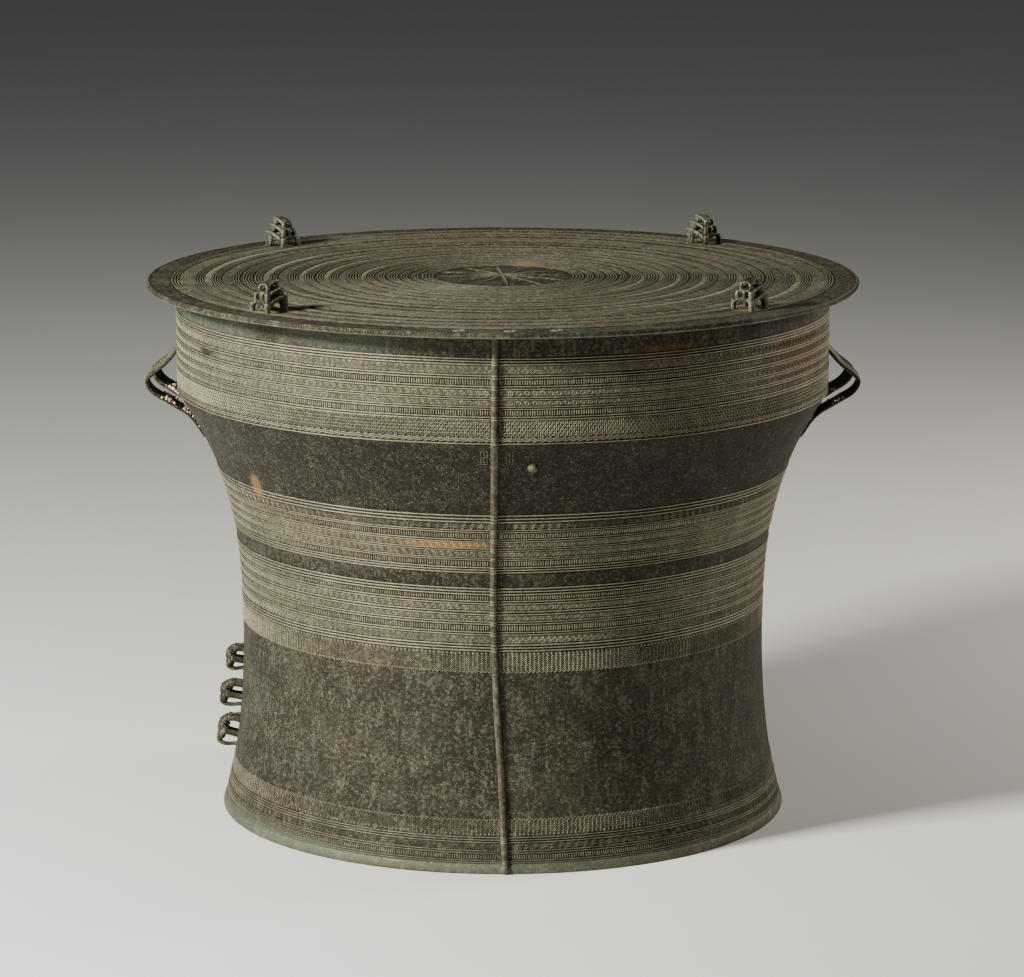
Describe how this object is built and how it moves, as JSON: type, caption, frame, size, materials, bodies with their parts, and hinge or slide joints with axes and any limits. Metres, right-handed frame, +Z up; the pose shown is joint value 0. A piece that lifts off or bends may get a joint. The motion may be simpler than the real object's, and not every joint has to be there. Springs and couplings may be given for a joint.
{
  "type": "bronze kettle drum",
  "caption": "Bronze kettle drum with a flat overhanging head, waisted trunk open below, strap handles, frogs on the head and elephants down one side.",
  "frame": {"origin": "on the drum's axis, on the plane that its foot ring stands on", "axes": "+Z up along the drum's axis, the front seam bar on -Y, the handle pairs on -X and +X, elephants on -X"},
  "size_m": [0.666, 0.66, 0.5277],
  "materials": {
    "patinated_bronze": "aged cast bronze with an olive-brown patina, worn paler on raised lines, green and orange in places"
  },
  "bodies": {
    "root": {"drum": "patinated_bronze"}
  },
  "joints": []
}
